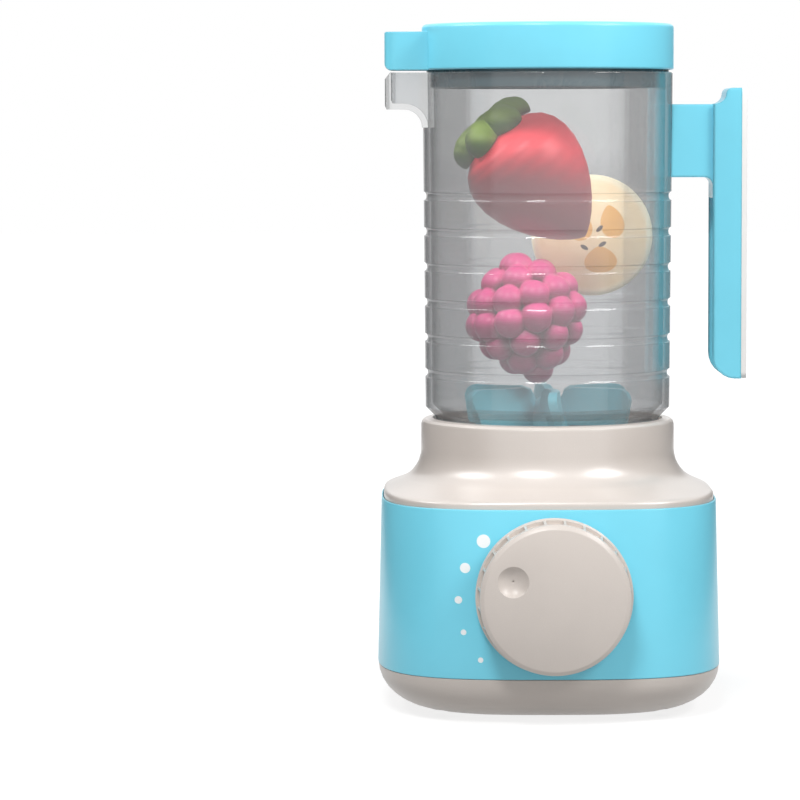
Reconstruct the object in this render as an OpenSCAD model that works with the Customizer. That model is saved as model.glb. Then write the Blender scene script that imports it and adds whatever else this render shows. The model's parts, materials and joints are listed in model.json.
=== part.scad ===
// Toy blender: a battery-driven stand, a clear lift-off jug with turning paddles, and play food in it.
// The origin is on the ground, under the middle of the whole. The dial faces -Y, the spout -X, the handle +X.
// The modules are drawn about the jug's axis, and placed() moves each of them to that origin.

/* [Base] */
// Width of the base at the seam above the tray
base_w = 131; // [118:0.5:160]
// Width of the blue housing at its upper seam
shell_top_w = 128; // [112:0.2:156]
// Squareness of the base outline: 2 is a circle
base_n = 3.2; // [2.8:0.1:4.2]
// Height of the rubber feet under the tray
foot_h = 1.2; // [0.8:0.1:3]
// Radius of a rubber foot
foot_r = 4.5; // [3:0.1:6]
// Height of the tray from its flat bottom to the seam
tray_h = 16.1; // [16:0.1:26]
// Half width of the tray's flat bottom
tray_flat = 44; // [38:0.5:48]
// Height of the blue housing
shell_h = 63.2; // [58:0.1:80]
// Wall of the housing and of the tray
wall = 2.4; // [1.8:0.1:3]
// Dark line left open at the seams
seam_gap = 0.15; // [0.05:0.05:0.4]

/* [Collar] */
// Radius of the hollow curve under the neck
flare_r = 12.7; // [7:0.1:14]
// Radius of the rounded shoulder
shoulder_r = 2.1; // [1.5:0.1:6]
// Steepest lean of the flare from upright
flare_lean = 62; // [58:1:75]
// Height of the straight neck
neck_h = 11.7; // [11:0.1:18]
// Rounding of the rim's outer edge
rim_round = 2.4; // [1:0.1:2.6]
// Height of the seat that carries the jug, below the rim
seat_depth = 9.6; // [9:0.1:12]

/* [Jug] */
// Outer radius of the jug at its rim
jug_r = 47.9; // [42:0.1:55]
// How much narrower the jug is at the foot of its wall
jug_taper = 0.9; // [0.4:0.1:1.5]
// Height of the jug from its foot to its rim
jug_h = 142.1; // [125:0.5:172]
// Wall of the jug
jug_wall = 2.7; // [2.2:0.1:3.2]
// Sideways and upward run of the slanted part above the foot
jug_slant = 4.1; // [3:0.1:5]
// Thickness of the jug's floor
floor_t = 2.6; // [2:0.1:3.5]
// Number of grooves round the jug
grooves = 6; // [0:1:7]
// Distance between grooves
groove_pitch = 13.55; // [10:0.05:16]
// Distance of the highest groove below the rim
groove_top = 47.2; // [40:0.1:60]
// Depth of a groove
groove_depth = 1.05; // [0.5:0.05:1.3]
// Width of a groove
groove_w = 3.4; // [2.4:0.1:4]
// Radial clearance of the jug's foot in the collar
foot_gap = 0.4; // [0.3:0.05:0.6]

/* [Spout] */
// How far the spout stands out from the jug's wall
spout_out = 14.5; // [10:0.5:18]
// Width of the spout at its lip
spout_w = 21; // [16:0.5:26]
// Height of the spout's side at its lip
spout_h = 14; // [11:0.5:18]
// Radius of the hollow curve under the spout
spout_r = 7; // [4:0.5:9]

/* [Handle] */
// Height of the stem's upper face below the jug's rim
stem_drop = 12.3; // [9:0.1:20]
// Height of the stem
stem_h = 27.8; // [22:0.1:34]
// Depth of the finger gap between the jug and the grip
finger_gap = 14.9; // [13:0.1:22]
// Thickness of the grip without its strip
grip_t = 10.9; // [9:0.1:14]
// Length of the grip
grip_l = 111; // [90:0.5:125]
// Width of the grip
grip_w = 22; // [18:0.5:28]
// Thickness of the strip on the grip's back
strip_t = 2; // [1.5:0.1:3]

/* [Lid] */
// Height of the lid
lid_h = 17.4; // [14:0.1:22]
// How far the lid stands out past the jug's rim
lid_over = 0.35; // [0.3:0.05:2]
// Height of the tongue over the spout
tongue_h = 14.5; // [11:0.1:16]
// Depth of the plug below the jug's rim
plug_h = 6; // [5:0.1:10]
// Radial clearance of the plug in the jug
plug_gap = 0.3; // [0.2:0.05:0.5]

/* [Dial] */
// Height of the dial's axis above the ground
dial_z = 48.7; // [45:0.1:56]
// Radius of the dial's flange
dial_r = 29.2; // [24:0.1:31]
// Radius of the dial's face
dial_face_r = 27.8; // [22:0.1:29.5]
// Depth of the dial
dial_d = 14.4; // [11:0.1:18]
// Number of recessed panels round the dial
dial_panels = 24; // [12:1:30]
// Radius of the finger dimple
dimple_r = 5.8; // [4:0.1:7]
// Distance of the dimple from the dial's axis
dimple_at = 17; // [13:0.1:19]
// Direction of the dimple at rest, seen from the front, counted from the right
dimple_turn = 156; // [140:1:220]
// Radius of the dial's shaft
dial_shaft_r = 3; // [2.5:0.1:4]

/* [Drive] */
// Size of the gear teeth: pitch diameter for each tooth
gear_m = 0.8; // [0.7:0.05:0.9]
// Teeth of the motor's pinion
pinion_t = 10; // [10:1:12]
// Teeth of the middle wheel's large gear
idler_big_t = 40; // [36:1:42]
// Teeth of the middle wheel's small gear
idler_small_t = 14; // [14:1:16]
// Teeth of the gear on the drive shaft
drive_t = 38; // [36:1:42]
// Radius of the drive shaft and of the paddle shaft
shaft_r = 2; // [1.5:0.1:3]
// Radial clearance of a turning shaft in its bush
run_gap = 0.05; // [0.02:0.01:0.09]
// Radius of the motor's can
motor_r = 12; // [10:0.1:13]

/* [Cells] */
// Radius of a cell
cell_r = 7.25; // [7:0.05:7.4]
// Length of a cell
cell_l = 50.5; // [48:0.1:51]
// Number of cells side by side
cells = 3; // [2:1:3]

/* [Paddles] */
// Number of paddles
paddles = 6; // [3:1:8]
// Radius that the paddles reach
paddle_r = 35; // [28:0.5:36]
// Height of the paddles
paddle_h = 15; // [10:0.5:20]
// Thickness of a paddle
paddle_t = 3; // [2:0.1:4]

/* [Play food] */
// Length of the strawberry
berry_l = 52; // [46:0.5:56]
// Largest radius of the strawberry
berry_r = 22.8; // [18:0.1:23]
// Radius of the banana slice
slice_r = 23.5; // [20:0.1:24]
// Thickness of the banana slice
slice_t = 7; // [6:0.1:10]
// Radius of the raspberry to the middle of its beads
rasp_r = 18.6; // [16:0.1:19]
// Radius of a bead on the raspberry
bead_r = 6.4; // [5:0.1:7]

/* [Hidden] */
$fn = 64;

sides = 80;        // flats round the lofted shells
press_gap = 0.02;  // between pieces that are pressed together
eps = 0.01;

// Heights
tray_z = foot_h;
seam_z = tray_z + tray_h;
shoulder_z = seam_z + shell_h;
shell_half = base_w / 2;
shell_top_half = shell_top_w / 2;
rim_t = 0.9;
collar_half = shell_top_half - rim_t;
neck_r = jug_r - jug_taper + 1.75;
flare_x = collar_half - neck_r - (flare_r + shoulder_r) * (1 - cos(flare_lean));
flare_run = flare_x / sin(flare_lean);
flare_h = (flare_r + shoulder_r) * sin(flare_lean) + flare_run * cos(flare_lean);
shoulder_step = 1.3;
neck_z = shoulder_z + shoulder_step + flare_h;
rim_z = neck_z + neck_h;
seat_z = rim_z - seat_depth;
jug_top = seat_z + jug_h;

// Outline of the base: radius at angle a of a rounded square of half width h
function outline(h, n, a) = h / pow(pow(abs(cos(a)), n) + pow(abs(sin(a)), n), 1 / n);
// One level of a loft is [half width, height, squareness]
function level_points(v) = [for (i = [0 : sides - 1])
    let (a = i * 360 / sides, r = outline(v[0], v[2], a)) [r * cos(a), r * sin(a), v[1]]];
function band(k, m) = [for (i = [0 : sides - 1])
    let (j = (i + 1) % sides, a = k * sides, b = m * sides)
    each [[a + i, b + i, b + j], [a + i, b + j, a + j]]];

// Skin through the levels, from the outer foot over the top to the inner foot, closed as a ring
module ring_loft(levels) {
    count = len(levels);
    polyhedron([for (v = levels) each level_points(v)],
        [for (k = [0 : count - 1]) each band(k, (k + 1) % count)], convexity = 6);
}
// The same, closed by a flat face at the first level and another at the last
module cup_loft(levels) {
    count = len(levels);
    polyhedron([for (v = levels) each level_points(v)], [
        [for (i = [0 : sides - 1]) i],
        for (k = [0 : count - 2]) each band(k, k + 1),
        [for (i = [sides - 1 : -1 : 0]) (count - 1) * sides + i]], convexity = 6);
}

// Screw along +Z: head below z = 0, shank above
module screw(head_r, head_h, shank_r, shank_l) {
    difference() {
        translate([0, 0, -head_h]) cylinder(h = head_h, r = head_r);
        for (turn = [0, 90]) rotate(turn)
            translate([-head_r * 0.55, -head_r * 0.11, -head_h - 1]) cube([head_r * 1.1, head_r * 0.22, 1 + head_h * 0.5]);
    }
    translate([0, 0, -eps]) cylinder(h = shank_l - shank_r + eps, r = shank_r);
    translate([0, 0, shank_l - shank_r]) cylinder(h = shank_r, r1 = shank_r, r2 = shank_r * 0.3);
}

/* ---- base ---- */
bowl_steps = 9;
lip_h = 3;
lip_gap = 0.3;
function bowl(flat, half, z0, h) = [for (i = [0 : bowl_steps])
    let (t = 90 * i / bowl_steps) [flat + (half - flat) * sin(t), z0 + h * (1 - cos(t)), base_n]];
function flip(v) = [for (i = [len(v) - 1 : -1 : 0]) v[i]];
function shell_at(z) = shell_half + (shell_top_half - shell_half) * (z - seam_z) / shell_h;

column_at = shell_half * 0.62;
column_r = 4.4;
column_z = seam_z + 5.6;
column_foot = tray_z + tray_h * 0.31;
case_screw_r = 1.5;
case_head_r = 3;
case_head_z = tray_z + 12.6;
case_screw_l = 28;
foot_x = tray_flat - foot_r - 2;
foot_y = tray_flat * 0.53;
foot_sink = 1.7;

// Battery box
cell_pitch = 2 * cell_r + 0.5;
box_x = cells * cell_pitch / 2 + 1.5;
box_y = cell_l / 2 + 3.7;
door_t = 1.9;
door_z = tray_z + 0.2;
cell_z = door_z + door_t + 0.5 + cell_r;
box_top = cell_z + cell_r + 0.6;
box_wall = 1.6;
door_ledge = 1.8;
door_gap = 0.2;
tab_w = 12;
tab_l = 6;
door_screw_y = box_y + door_ledge + 3;
door_screw_r = 1.2;

module corners(at, at_y) {
    for (x = [-1, 1], y = [-1, 1]) translate([x * at, y * at_y, 0]) children();
}
module door_plate(gap) {
    translate([-box_x - door_ledge + gap, -box_y - door_ledge + gap, 0])
        cube([2 * (box_x + door_ledge - gap), 2 * (box_y + door_ledge - gap), door_t]);
    translate([-tab_w / 2 + gap, box_y, 0]) cube([tab_w - 2 * gap, door_ledge + tab_l - gap, door_t]);
}

module base_tray() color([0.83, 0.80, 0.77]) {
    inner_half = shell_half - wall;
    difference() {
        union() {
            cup_loft(concat(
                bowl(tray_flat, shell_half - 0.1, tray_z, tray_h),
                [[inner_half - lip_gap, seam_z, base_n], [inner_half - lip_gap, seam_z + lip_h, base_n],
                 [inner_half - lip_gap - 1.6, seam_z + lip_h, base_n]],
                flip(bowl(tray_flat - wall * 0.6, inner_half - lip_gap - 1.6, tray_z + wall, tray_h - wall))));
            // battery box
            translate([-box_x - box_wall, -box_y - box_wall, tray_z + wall / 2])
                cube([2 * (box_x + box_wall), 2 * (box_y + box_wall), box_top + box_wall - tray_z - wall / 2]);
            // screw columns, foot pads and the boss of the door's screw
            corners(column_at, column_at) translate([0, 0, column_foot])
                cylinder(h = column_z - column_foot, r = column_r);
            corners(foot_x, foot_y) translate([0, 0, tray_z + 0.6]) cylinder(h = foot_sink + wall, r = foot_r + 1.4);
            translate([0, door_screw_y, tray_z + wall / 2]) cylinder(h = 9, r = 3.4);
        }
        // room for the cells, and the door's seat
        translate([-box_x, -box_y, door_z + door_t])
            cube([2 * box_x, 2 * box_y, box_top - door_z - door_t]);
        translate([0, 0, door_z - 1]) door_plate(0);
        translate([0, 0, door_z]) door_plate(0);
        // seats of the feet, the case screws and the door's screw
        corners(foot_x, foot_y) translate([0, 0, -1]) cylinder(h = tray_z + foot_sink + 1, r = foot_r + press_gap);
        corners(column_at, column_at) {
            translate([0, 0, -1]) cylinder(h = case_head_z + 1, r = case_head_r + 0.4);
            cylinder(h = column_z + 1, r = case_screw_r + 0.2);
        }
        translate([0, door_screw_y, tray_z]) cylinder(h = 8.6, r = door_screw_r + press_gap);
    }
}

module rubber_feet() color([0.25, 0.25, 0.26]) corners(foot_x, foot_y) cylinder(h = tray_z + foot_sink - press_gap, r = foot_r);

module battery_door() color([0.83, 0.80, 0.77]) difference() {
    translate([0, 0, door_z]) {
        difference() {
            door_plate(door_gap);
            // finger ribs let into the outside
            for (i = [-2 : 2]) translate([-9, -box_y + 6 + 2.4 * (i + 2), -1]) cube([18, 1.1, 1.5]);
        }
    }
    translate([0, door_screw_y, 0]) {
        cylinder(h = 6, r = door_screw_r + 0.2);
        cylinder(h = door_z + 0.9, r = 2.6);
    }
}

module door_screw() color([0.7, 0.7, 0.72])
    translate([0, door_screw_y, door_z + 0.9 - press_gap]) screw(2.3, 0.8, door_screw_r, 7);

module case_screws() color([0.7, 0.7, 0.72])
    corners(column_at, column_at) translate([0, 0, case_head_z - press_gap]) screw(case_head_r, 2, case_screw_r, case_screw_l);

module each_cell() {
    for (i = [0 : cells - 1])
        translate([(i - (cells - 1) / 2) * cell_pitch, 0, cell_z]) rotate([90, 0, i % 2 == 0 ? 0 : 180]) children();
}
module cells_aa() color([0.15, 0.35, 0.3]) each_cell() {
    translate([0, 0, -cell_l / 2]) rotate_extrude()
        polygon([[0, 0], [cell_r - 0.6, 0], [cell_r, 0.6], [cell_r, cell_l - 2], [cell_r - 0.8, cell_l - 1.2],
            [2.7, cell_l - 1.2], [2.7, cell_l], [0, cell_l]]);
}
module cell_springs() color([0.75, 0.75, 0.76]) each_cell() {
    translate([0, 0, -box_y + press_gap]) {
        cylinder(h = 0.4, r = 5.5);
        // turns of a flat-wound cone spring
        for (i = [0 : 2]) translate([0, 0, 0.4 + i * 1.0]) rotate_extrude()
            polygon([[4.6 - i, 0], [5.4 - i, 0], [5.2 - i, 1.0], [3.8 - i, 1.0], [3.6 - i, 0.8], [4.4 - i, 0.8]]);
    }
}
module cell_plates() color([0.75, 0.75, 0.76]) each_cell() {
    difference() {
        translate([-5.5, -5.5, cell_l / 2 + 0.1]) cube([11, 11, box_y - cell_l / 2 - 0.1 - press_gap]);
        translate([-4.7, -4.7, cell_l / 2 + 0.7]) cube([9.4, 12, 2.6]);
    }
}

board_y = 10.4;      // depth of the switch board behind the housing's inside
board_half = 16;
board_t = 1.6;
board_post_at = 13;
board_post_r = 2.6;
front_in = shell_at(dial_z) - wall;
board_face = -front_in + board_y;

module housing_shell() color([0.50, 0.85, 0.93]) {
    ledge_z = shoulder_z - 2.6;
    edge = 0.45;
    difference() {
        union() {
            ring_loft([
                [shell_half, seam_z + seam_gap, base_n], [shell_at(shoulder_z - edge), shoulder_z - edge, base_n],
                [shell_top_half - edge * 0.3, shoulder_z - edge * 0.3, base_n],
                [shell_top_half - edge, shoulder_z, base_n], [collar_half + seam_gap * 2, shoulder_z, base_n],
                [collar_half + seam_gap * 2, ledge_z, base_n], [shell_at(ledge_z) - wall, ledge_z, base_n],
                [shell_half - wall, seam_z + seam_gap, base_n]]);
            // posts that carry the switch board, and the boss round the dial's shaft
            difference() {
                union() {
                    for (x = [-1, 1], z = [-1, 1])
                        translate([x * board_post_at, board_face, dial_z + z * board_post_at])
                            rotate([90, 0, 0]) cylinder(h = board_y + 1.4, r = board_post_r);
                    translate([0, -front_in + 4, dial_z]) rotate([90, 0, 0]) cylinder(h = 5.4, r = dial_shaft_r + 2.4);
                }
                for (x = [-1, 1], z = [-1, 1])
                    translate([x * board_post_at, board_face + eps, dial_z + z * board_post_at])
                        rotate([90, 0, 0]) cylinder(h = 7, r = door_screw_r + press_gap);
            }
        }
        translate([0, -shell_half - 5, dial_z]) rotate([-90, 0, 0])
            cylinder(h = shell_half, r = dial_shaft_r + run_gap);
    }
}

/* ---- collar ---- */
foot_ring_r = jug_r - jug_taper - jug_slant;
socket_r = foot_ring_r + foot_gap;
lead_in = 1;
deck_t = 2.4;
well_r = 15;
well_z = seat_z - 5.6;
bush_r = 4;
arc_steps = 6;
collar_wall = 2.5;
post_at = 38;
post_r = 3.5;
plate_z = well_z - 20.9;
plate_t = 2.4;
function squareness(h) = 2 + (base_n - 2) * pow(max(0, min(1, (h - neck_r) / (collar_half - neck_r))), 3);
// Shoulder and flare from the seam up to the neck, as two arcs joined by a straight run
function flare(inset) = concat(
    [for (i = [0 : arc_steps]) let (t = flare_lean * i / arc_steps)
        [collar_half - shoulder_r * (1 - cos(t)) - inset, shoulder_z + shoulder_step + shoulder_r * sin(t), 0]],
    [for (i = [arc_steps : -1 : 0]) let (t = flare_lean * i / arc_steps)
        [neck_r + flare_r * (1 - cos(t)) - inset, neck_z - flare_r * sin(t), 0]]);
function squared(levels, inset, drop) = [for (v = levels) [v[0], v[1] - drop, squareness(v[0] + inset)]];
// The columns end inside the shoulder: the highest level that still covers them at the corner
column_top = max([for (v = squared(flare(0), 0, 0)) if (outline(v[0], v[2], 45) > column_at * sqrt(2) + column_r + 0.5) v[1]]);
module collar() color([0.83, 0.80, 0.77]) {
    difference() {
        union() {
            ring_loft(concat(
                [[collar_half, shoulder_z - 2.5, base_n]],
                squared(flare(0), 0, 0),
                [for (t = [0 : 30 : 90])
                    [neck_r - rim_round * (1 - cos(t)), rim_z - rim_round * (1 - sin(t)), 2]],
                [[socket_r + lead_in, rim_z, 2], [socket_r + lead_in, neck_z - 1, 2]],
                flip(squared(flare(collar_wall), collar_wall, 1.6)),
                [[collar_half - collar_wall, shoulder_z - 2.5, base_n]]));
            // socket, seat and the sunk well over the gears
            rotate_extrude() polygon([
                [bush_r + 3, well_z], [well_r, well_z], [well_r, seat_z], [socket_r, seat_z],
                [socket_r, rim_z - 2.2], [socket_r + lead_in + 0.6, rim_z - 0.6 - lead_in],
                [socket_r + lead_in + 0.6, neck_z - 1], [socket_r + lead_in - 1, seat_z - deck_t],
                [well_r + deck_t, seat_z - deck_t], [well_r + deck_t, well_z - deck_t],
                [bush_r + 3, well_z - deck_t]]);
            translate([0, 0, well_z - 4.6]) cylinder(h = 4.6, r = bush_r + 3 + eps);
            // posts for the gearbox plate, and the boss of the middle wheel's pin
            for (a = [-30, 90, 210]) rotate(a) translate([post_at, 0, plate_z + plate_t])
                cylinder(h = seat_z - deck_t / 2 - plate_z - plate_t, r = post_r);
            translate([idler_x, idler_y, gear_top_z + 0.4]) cylinder(h = seat_z - deck_t / 2 - gear_top_z - 0.4, r = 4);
            // columns that the case screws bite into
            corners(column_at, column_at) translate([0, 0, column_z + 0.1])
                cylinder(h = column_top - column_z - 0.1, r = column_r);
        }
        translate([0, 0, well_z - 10]) cylinder(h = 20, r = bush_r + press_gap);
        for (a = [-30, 90, 210]) rotate(a) translate([post_at, 0, plate_z])
            cylinder(h = plate_t + 9, r = door_screw_r + press_gap);
        translate([idler_x, idler_y, gear_top_z]) cylinder(h = 5, r = idler_pin_r + press_gap);
        corners(column_at, column_at) translate([0, 0, column_z - 1])
            cylinder(h = case_head_z + case_screw_l - column_z + 2, r = case_screw_r + press_gap);
    }
}

/* ---- gears ---- */
pressure = 25;
head_k = 0.9;      // height of a tooth over the pitch circle, in modules
root_k = 1.15;
backlash = 0.1;
idler_d = gear_m * (idler_small_t + drive_t) / 2;
motor_d = gear_m * (pinion_t + idler_big_t) / 2;
idler_a = 160;
motor_a = 75;
idler_x = idler_d * cos(idler_a);
idler_y = idler_d * sin(idler_a);
motor_x = idler_x + motor_d * cos(motor_a);
motor_y = idler_y + motor_d * sin(motor_a);
idler_pin_r = 1.5;
motor_shaft_r = 1;
big_z = plate_z + plate_t + 2;
big_t = 3;
drive_z = big_z + big_t + 1.4;
drive_w = 5;
gear_top_z = drive_z + drive_w + 1;
flank_steps = 4;

function roll_point(rb, t) = [rb * cos(t) + rb * t * PI / 180 * sin(t), rb * sin(t) - rb * t * PI / 180 * cos(t)];
function turned(p, a) = [p[0] * cos(a) - p[1] * sin(a), p[0] * sin(a) + p[1] * cos(a)];
// One tooth, pointing along +X: involute flanks from the base or root circle to the tip circle
function tooth(count) =
    let (rp = gear_m * count / 2, rb = rp * cos(pressure), rt = rp + head_k * gear_m, rr = rp - root_k * gear_m,
        t0 = rr > rb ? sqrt(pow(rr / rb, 2) - 1) * 180 / PI : 0,
        t1 = sqrt(pow(rt / rb, 2) - 1) * 180 / PI,
        half = 90 / count - backlash / rp * 90 / PI + tan(pressure) * 180 / PI - pressure,
        side = [for (i = [0 : flank_steps]) turned(roll_point(rb, t0 + (t1 - t0) * i / flank_steps), -half)],
        foot_a = atan2(side[0][1], side[0][0]))
    concat([[rr * cos(foot_a), rr * sin(foot_a)]], rr > rb ? [] : [side[0]],
        [for (i = [1 : flank_steps]) side[i]],
        [for (i = [flank_steps : -1 : 1]) [side[i][0], -side[i][1]]],
        rr > rb ? [] : [[side[0][0], -side[0][1]]], [[rr * cos(foot_a), -rr * sin(foot_a)]]);
module gear(count, h, turn) {
    one = tooth(count);
    linear_extrude(height = h)
        polygon([for (i = [0 : count - 1]) each [for (p = one) turned(p, turn + i * 360 / count)]]);
}

module gearbox_plate() color([0.55, 0.56, 0.58]) translate([0, 0, plate_z]) difference() {
    union() {
        cylinder(h = plate_t, r = post_at + post_r);
        translate([0, 0, -2]) cylinder(h = plate_t + 2, r = bush_r + 2.4);
        translate([idler_x, idler_y, -2]) cylinder(h = plate_t + 2, r = 4);
    }
    translate([0, 0, -3]) cylinder(h = 9, r = bush_r + press_gap);
    translate([idler_x, idler_y, -1]) cylinder(h = 9, r = idler_pin_r + press_gap);
    translate([motor_x, motor_y, -3]) cylinder(h = 9, r = 3.2);
    for (s = [-1, 1]) translate([motor_x + s * 8, motor_y, -3]) cylinder(h = 9, r = 1.2);
    for (a = [-30, 90, 210]) rotate(a) translate([post_at, 0, -3]) cylinder(h = 9, r = door_screw_r + 0.2);
    // windows that lighten the plate
    for (a = [-80, -5, 35]) rotate(a) translate([24, 0, -3]) cylinder(h = 9, r = 7);
}
module plate_screws() color([0.7, 0.7, 0.72])
    for (a = [-30, 90, 210]) rotate(a) translate([post_at, 0, plate_z - press_gap]) screw(2.4, 1.6, door_screw_r, 10);

motor_h = 27;
module motor() color([0.72, 0.73, 0.75]) translate([motor_x, motor_y, plate_z - press_gap]) difference() {
    union() {
        intersection() {
            translate([0, 0, -motor_h]) cylinder(h = motor_h, r = motor_r);
            translate([-motor_r - 1, -motor_r * 0.77, -motor_h]) cube([2 * motor_r + 2, motor_r * 1.54, motor_h]);
        }
        translate([0, 0, -eps]) cylinder(h = 1.6, r = 3);
        translate([0, 0, -motor_h - 1.8]) cylinder(h = 2, r = 4.5);
        for (s = [-1, 1]) translate([s * 7 - 0.4, -1.5, -motor_h - 4]) cube([0.8, 3, 4.2]);
    }
    translate([0, 0, -motor_h + 6]) cylinder(h = motor_h, r = motor_shaft_r + run_gap);
    for (s = [-1, 1]) translate([s * 8, 0, -4]) cylinder(h = 9, r = 1 + press_gap);
}
module motor_screws() color([0.7, 0.7, 0.72])
    for (s = [-1, 1]) translate([motor_x + s * 8, motor_y, plate_z + plate_t + press_gap])
        rotate([180, 0, 0]) screw(1.8, 1, 1, 5.6);
module motor_shaft() color([0.8, 0.8, 0.82]) translate([motor_x, motor_y, plate_z - motor_h + 6.2])
    cylinder(h = big_z + big_t + 1.2 - plate_z + motor_h - 6.2, r = motor_shaft_r);
module motor_pinion() color([0.9, 0.86, 0.7]) translate([motor_x, motor_y, big_z - 0.4]) difference() {
    gear(pinion_t, big_t + 1, motor_a + 180 + 180 / pinion_t);
    translate([0, 0, -1]) cylinder(h = 9, r = motor_shaft_r + press_gap);
}
module idler_pin() color([0.8, 0.8, 0.82]) translate([idler_x, idler_y, plate_z - 0.9])
    cylinder(h = gear_top_z + 4.8 - plate_z + 0.9, r = idler_pin_r);
module idler_gear() color([0.93, 0.93, 0.9]) translate([idler_x, idler_y, 0]) difference() {
    union() {
        translate([0, 0, big_z]) gear(idler_big_t, big_t, motor_a);
        translate([0, 0, big_z - 1.6]) cylinder(h = 2, r = 3.4);
        translate([0, 0, big_z + big_t - eps]) gear(idler_small_t, gear_top_z - big_z - big_t, idler_a + 180 + 180 / idler_small_t);
    }
    translate([0, 0, plate_z]) cylinder(h = 40, r = idler_pin_r + run_gap);
    // dished web
    difference() {
        translate([0, 0, big_z + big_t * 0.55]) cylinder(h = big_t, r = gear_m * idler_big_t / 2 - 3);
        cylinder(h = 200, r = gear_m * idler_small_t / 2 + 1.6);
    }
}
module drive_gear() color([0.93, 0.93, 0.9]) difference() {
    union() {
        translate([0, 0, drive_z]) gear(drive_t, drive_w, idler_a);
        translate([0, 0, drive_z]) cylinder(h = well_z - 5.7 - drive_z, r = shaft_r + 2);
        translate([0, 0, plate_z + plate_t + 1]) cylinder(h = drive_z - plate_z - plate_t, r = shaft_r + 1.2);
    }
    cylinder(h = 200, r = shaft_r + press_gap);
    for (s = [0, 1]) difference() {
        translate([0, 0, drive_z - 1 + s * (drive_w - 0.6)]) cylinder(h = 2.6, r = gear_m * drive_t / 2 - 2.8);
        cylinder(h = 200, r = shaft_r + 2);
    }
}

coupling_r = 11;
dog_h = 2.4;
dog_gap = 0.4;
disc_t = 2;
drive_disc_z = well_z + 0.8;
dog_z = drive_disc_z + disc_t;
shaft_top = dog_z + 0.4;
// Half of a dog clutch: a disc with four dogs standing on it
module dogs(disc, turn) {
    difference() {
        cylinder(h = disc, r = coupling_r);
        translate([0, 0, -1]) cylinder(h = disc + 2, r = shaft_r + press_gap);
    }
    for (i = [0 : 3]) rotate(turn + i * 90) translate([0, 0, disc - eps]) linear_extrude(height = dog_h + eps)
        polygon(concat([for (a = [-16 : 8 : 16]) [5 * cos(a), 5 * sin(a)]],
            [for (a = [16 : -8 : -16]) [10.4 * cos(a), 10.4 * sin(a)]]));
}
module drive_shaft() color([0.8, 0.8, 0.82])
    translate([0, 0, plate_z - 1.6]) cylinder(h = shaft_top - plate_z + 1.6, r = shaft_r);
module bush(z, h) {
    translate([0, 0, z]) difference() {
        union() {
            cylinder(h = h, r = bush_r);
            cylinder(h = 0.8, r = bush_r + 1.4);
        }
        translate([0, 0, -1]) cylinder(h = h + 2, r = shaft_r + run_gap);
    }
}
module lower_bush() color([0.8, 0.66, 0.35])
    translate([0, 0, 2 * plate_z + plate_t + 0.8 + 0.02]) mirror([0, 0, 1]) bush(plate_z, plate_t + 2.4);
module upper_bush() color([0.8, 0.66, 0.35]) bush(well_z - 5.4 - press_gap, 5.6);
module drive_coupling() color([0.3, 0.3, 0.32]) translate([0, 0, drive_disc_z]) dogs(disc_t, 0);

/* ---- dial ---- */
dial_back = shell_half + 0.3;
dial_front = dial_back + dial_d;
wiper_r = 11;
module along_front(y) translate([0, -y, dial_z]) rotate([90, 0, 0]) children();
dial_skirt = 2.2;
dial_bevel = 1.3;
panel_gap = 1.25;
dish_depth = 2.6;
module dial() color([0.83, 0.80, 0.77]) along_front(dial_back) difference() {
    rotate_extrude() polygon([[dial_shaft_r + press_gap, dial_d - 4], [dial_shaft_r + press_gap, 1],
        [dial_shaft_r + 2.2, 1], [dial_shaft_r + 2.2, dial_d - 2.6], [dial_face_r - 3.4, dial_d - 2.6],
        [dial_r - 3.4, 0], [dial_r - 0.5, 0], [dial_r, 0.5], [dial_r, dial_skirt], [dial_r - 0.5, dial_skirt + 0.4],
        [dial_face_r, dial_d - dial_bevel], [dial_face_r - dial_bevel, dial_d - 0.25],
        [dial_face_r - dial_bevel - 0.5, dial_d], [0, dial_d], [0, dial_d - 4]]);
    // recessed panels, each with a pointed end towards the face
    panel_w = 2 * PI * dial_r / dial_panels - panel_gap;
    for (i = [0 : dial_panels - 1]) rotate(i * 360 / dial_panels)
        translate([dial_face_r - 0.55, 0, 0]) rotate([90, 0, 90]) linear_extrude(height = 4)
            polygon([[-panel_w / 2, dial_skirt + 1.2], [panel_w / 2, dial_skirt + 1.2],
                [panel_w / 2, dial_d - dial_bevel - 1.9], [0, dial_d - dial_bevel - 0.7],
                [-panel_w / 2, dial_d - dial_bevel - 1.9]]);
    // finger dimple
    dish_r = (pow(dimple_r, 2) + pow(dish_depth, 2)) / (2 * dish_depth);
    rotate(dimple_turn) translate([dimple_at, 0, dial_d + dish_r - dish_depth]) sphere(r = dish_r);
}
module dial_shaft() color([0.8, 0.8, 0.82]) along_front(-board_face - board_t - 3)
    cylinder(h = dial_back + dial_d - 4 - press_gap + board_face + board_t + 3, r = dial_shaft_r);
module switch_wiper() color([0.8, 0.66, 0.35]) along_front(-board_face + 0.3) difference() {
    union() {
        cylinder(h = 1.2, r = wiper_r);
        cylinder(h = 3.2, r = dial_shaft_r + 1.6);
    }
    translate([0, 0, -1]) cylinder(h = 6, r = dial_shaft_r + press_gap);
    for (i = [0 : 2]) rotate(i * 120) translate([7.6, 0, -1]) cylinder(h = 4, r = 2);
}
module switch_board() color([0.2, 0.45, 0.28]) translate([0, board_face + press_gap, dial_z]) rotate([-90, 0, 0]) difference() {
    translate([-board_half, -board_half, 0]) cube([2 * board_half, 2 * board_half, board_t]);
    translate([0, 0, -1]) cylinder(h = 4, r = dial_shaft_r + 0.3);
    for (x = [-1, 1], y = [-1, 1]) translate([x * board_post_at, y * board_post_at, -1]) cylinder(h = 4, r = door_screw_r + 0.2);
}
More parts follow.
